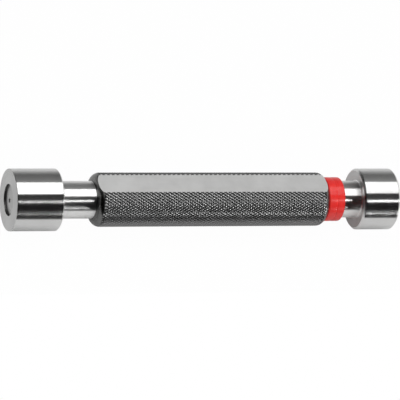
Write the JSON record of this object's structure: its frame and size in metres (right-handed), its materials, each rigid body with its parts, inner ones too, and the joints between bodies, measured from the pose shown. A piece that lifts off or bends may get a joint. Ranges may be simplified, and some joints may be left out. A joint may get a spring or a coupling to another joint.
{
  "type": "limit plug gauge",
  "caption": "Double-ended plug gauge: a long GO plug and a short NO-GO plug, marked by a red ring, wedged in the ends of a knurled handle.",
  "frame": {"origin": "on the gauge axis, halfway between the two plug faces", "axes": "+X runs along the gauge axis from the GO plug to the NO-GO plug; +Z is the normal of the marking flat on the handle"},
  "size_m": [0.164, 0.025, 0.025],
  "materials": {
    "handle_steel": "turned and diamond knurled, satin",
    "gauge_steel": "hardened, ground and lapped bright",
    "ring_red": "moulded red, semi-gloss, fine turning lines"
  },
  "bodies": {
    "handle": {"handle": "handle_steel"},
    "go_side": {"go_member": "gauge_steel"},
    "no_go_side": {"no_go_member": "gauge_steel", "no_go_ring": "ring_red"}
  },
  "joints": [
    {"name": "go_withdrawal", "type": "slide", "parent": "handle", "child": "go_side", "axis": [-1, 0, 0], "range_m": [0, 0.03]},
    {"name": "no_go_withdrawal", "type": "slide", "parent": "handle", "child": "no_go_side", "axis": [1, 0, 0], "range_m": [0, 0.036]}
  ]
}
